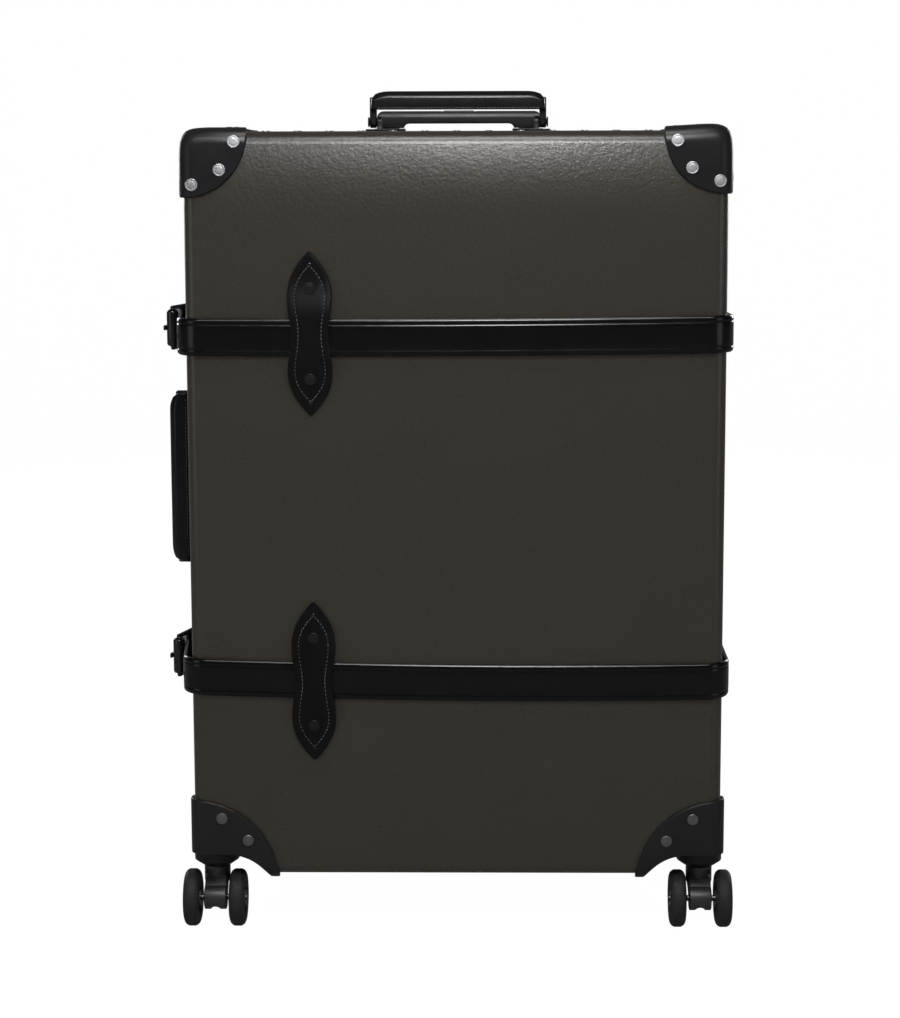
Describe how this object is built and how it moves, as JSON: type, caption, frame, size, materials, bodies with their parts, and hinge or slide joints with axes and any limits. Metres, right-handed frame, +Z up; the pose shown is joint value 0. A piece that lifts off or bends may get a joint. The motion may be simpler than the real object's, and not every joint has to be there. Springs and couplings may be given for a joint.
{
  "type": "suitcase",
  "caption": "Tall rigid suitcase with a pebbled board shell, riveted leather corners, two buckled straps, leather carry handles, a retracting trolley and twin-wheel casters",
  "frame": {"origin": "on the floor under the middle of the shell", "axes": "X to the right seen from the front, Y from the front face to the back, Z up"},
  "size_m": [0.5738, 0.2958, 0.8265],
  "materials": {
    "fibreboard": "pebbled satin over board",
    "lining_cloth": "woven",
    "corner_leather": "moulded, matte",
    "strap_leather": "polished",
    "housing_plastic": "satin",
    "rivet_steel": "polished",
    "black_metal": "gloss black",
    "tube_aluminium": "satin anodised",
    "grip_plastic": "satin",
    "wheel_rubber": "matte",
    "fork_plastic": "satin",
    "axle_steel": "plain"
  },
  "bodies": {
    "base": {"base_shell": "fibreboard", "base_rim": "grip_plastic", "base_lining": "lining_cloth", "trolley_cover_panel": "lining_cloth", "base_corners": "corner_leather", "rear_wheel_housings": "housing_plastic", "base_rim_rivets": "rivet_steel", "base_rivets": "rivet_steel", "rear_strap_loops": "strap_leather", "rear_loop_rivets": "black_metal", "rear_straps": "strap_leather", "strap_keepers": "strap_leather", "base_hinge_leaves": "black_metal", "hinge_pins": "axle_steel", "lock_cases": "black_metal", "trolley_outer_tubes": "tube_aluminium", "trolley_bezels": "grip_plastic", "handle_brackets": "black_metal", "rear_caster_mounts": "fork_plastic"},
    "lid": {"lid_shell": "fibreboard", "lid_lining": "lining_cloth", "lid_corners": "corner_leather", "front_wheel_housings": "housing_plastic", "lid_rim_rivets": "rivet_steel", "lid_rivets": "rivet_steel", "front_strap_loops": "strap_leather", "front_loop_rivets": "black_metal", "front_straps": "strap_leather", "lid_hinge_leaves": "black_metal", "lock_hasps": "black_metal", "front_caster_mounts": "fork_plastic"},
    "trolley": {"trolley_inner_tubes": "tube_aluminium", "trolley_grip": "grip_plastic"},
    "button": {"trolley_button": "grip_plastic"},
    "side_handle": {"side_handle_grip": "strap_leather", "side_handle_arms": "black_metal"},
    "top_handle": {"top_handle_grip": "strap_leather", "top_handle_arms": "black_metal"},
    "bolt_upper": {"lock_slider_upper": "black_metal"},
    "bolt_lower": {"lock_slider_lower": "black_metal"},
    "buckle_upper": {"buckle_frame_upper": "black_metal"},
    "buckle_lower": {"buckle_frame_lower": "black_metal"},
    "prong_upper": {"buckle_prong_upper": "black_metal"},
    "prong_lower": {"buckle_prong_lower": "black_metal"},
    "caster_front_left": {"caster_fork_front_left": "fork_plastic", "caster_axle_front_left": "axle_steel"},
    "wheel_front_left_left": {"wheel_front_left_left": "wheel_rubber"},
    "wheel_front_left_right": {"wheel_front_left_right": "wheel_rubber"},
    "caster_front_right": {"caster_fork_front_right": "fork_plastic", "caster_axle_front_right": "axle_steel"},
    "wheel_front_right_left": {"wheel_front_right_left": "wheel_rubber"},
    "wheel_front_right_right": {"wheel_front_right_right": "wheel_rubber"},
    "caster_rear_left": {"caster_fork_rear_left": "fork_plastic", "caster_axle_rear_left": "axle_steel"},
    "wheel_rear_left_left": {"wheel_rear_left_left": "wheel_rubber"},
    "wheel_rear_left_right": {"wheel_rear_left_right": "wheel_rubber"},
    "caster_rear_right": {"caster_fork_rear_right": "fork_plastic", "caster_axle_rear_right": "axle_steel"},
    "wheel_rear_right_left": {"wheel_rear_right_left": "wheel_rubber"},
    "wheel_rear_right_right": {"wheel_rear_right_right": "wheel_rubber"}
  },
  "joints": [
    {"name": "lid_hinge", "type": "hinge", "parent": "base", "child": "lid", "pos_m": [0.264, -0.035, 0.422], "axis": [0, 0, 1], "range_deg": [0, 100], "deforming": ["front_straps"]},
    {"name": "trolley_slide", "type": "slide", "parent": "base", "child": "trolley", "axis": [0, 0, 1], "range_m": [0, 0.3]},
    {"name": "trolley_button", "type": "slide", "parent": "trolley", "child": "button", "axis": [0, 0, -1], "range_m": [0, 0.003], "stiffness_N_per_m": 300},
    {"name": "side_handle_swing", "type": "hinge", "parent": "base", "child": "side_handle", "pos_m": [-0.269, 0.0525, 0.43], "axis": [0, 0, 1], "range_deg": [-60, 60]},
    {"name": "top_handle_swing", "type": "hinge", "parent": "base", "child": "top_handle", "pos_m": [0, 0.0525, 0.7955], "axis": [1, 0, 0], "range_deg": [-60, 60]},
    {"name": "bolt_upper_slide", "type": "slide", "parent": "base", "child": "bolt_upper", "axis": [0, 0, 1], "range_m": [0, 0.005]},
    {"name": "bolt_lower_slide", "type": "slide", "parent": "base", "child": "bolt_lower", "axis": [0, 0, 1], "range_m": [0, 0.005]},
    {"name": "buckle_upper_swing", "type": "hinge", "parent": "base", "child": "buckle_upper", "pos_m": [-0.273, -0.008, 0.59325], "axis": [0, 0, -1], "range_deg": [0, 45]},
    {"name": "prong_upper_swing", "type": "hinge", "parent": "buckle_upper", "child": "prong_upper", "pos_m": [-0.273, -0.008, 0.59325], "axis": [0, 0, -1], "range_deg": [0, 45]},
    {"name": "buckle_lower_swing", "type": "hinge", "parent": "base", "child": "buckle_lower", "pos_m": [-0.273, -0.008, 0.25975], "axis": [0, 0, -1], "range_deg": [0, 45]},
    {"name": "prong_lower_swing", "type": "hinge", "parent": "buckle_lower", "child": "prong_lower", "pos_m": [-0.273, -0.008, 0.25975], "axis": [0, 0, -1], "range_deg": [0, 45]},
    {"name": "caster_front_left_swivel", "type": "hinge", "parent": "lid", "child": "caster_front_left", "pos_m": [-0.242, -0.1, 0.055], "axis": [0, 0, 1], "continuous": true},
    {"name": "wheel_front_left_left_spin", "type": "hinge", "parent": "caster_front_left", "child": "wheel_front_left_left", "pos_m": [-0.242, -0.119, 0.0285], "axis": [1, 0, 0], "continuous": true},
    {"name": "wheel_front_left_right_spin", "type": "hinge", "parent": "caster_front_left", "child": "wheel_front_left_right", "pos_m": [-0.242, -0.119, 0.0285], "axis": [1, 0, 0], "continuous": true},
    {"name": "caster_front_right_swivel", "type": "hinge", "parent": "lid", "child": "caster_front_right", "pos_m": [0.242, -0.1, 0.055], "axis": [0, 0, 1], "continuous": true},
    {"name": "wheel_front_right_left_spin", "type": "hinge", "parent": "caster_front_right", "child": "wheel_front_right_left", "pos_m": [0.242, -0.119, 0.0285], "axis": [1, 0, 0], "continuous": true},
    {"name": "wheel_front_right_right_spin", "type": "hinge", "parent": "caster_front_right", "child": "wheel_front_right_right", "pos_m": [0.242, -0.119, 0.0285], "axis": [1, 0, 0], "continuous": true},
    {"name": "caster_rear_left_swivel", "type": "hinge", "parent": "base", "child": "caster_rear_left", "pos_m": [-0.242, 0.1, 0.055], "axis": [0, 0, 1], "continuous": true},
    {"name": "wheel_rear_left_left_spin", "type": "hinge", "parent": "caster_rear_left", "child": "wheel_rear_left_left", "pos_m": [-0.242, 0.119, 0.0285], "axis": [1, 0, 0], "continuous": true},
    {"name": "wheel_rear_left_right_spin", "type": "hinge", "parent": "caster_rear_left", "child": "wheel_rear_left_right", "pos_m": [-0.242, 0.119, 0.0285], "axis": [1, 0, 0], "continuous": true},
    {"name": "caster_rear_right_swivel", "type": "hinge", "parent": "base", "child": "caster_rear_right", "pos_m": [0.242, 0.1, 0.055], "axis": [0, 0, 1], "continuous": true},
    {"name": "wheel_rear_right_left_spin", "type": "hinge", "parent": "caster_rear_right", "child": "wheel_rear_right_left", "pos_m": [0.242, 0.119, 0.0285], "axis": [1, 0, 0], "continuous": true},
    {"name": "wheel_rear_right_right_spin", "type": "hinge", "parent": "caster_rear_right", "child": "wheel_rear_right_right", "pos_m": [0.242, 0.119, 0.0285], "axis": [1, 0, 0], "continuous": true}
  ]
}
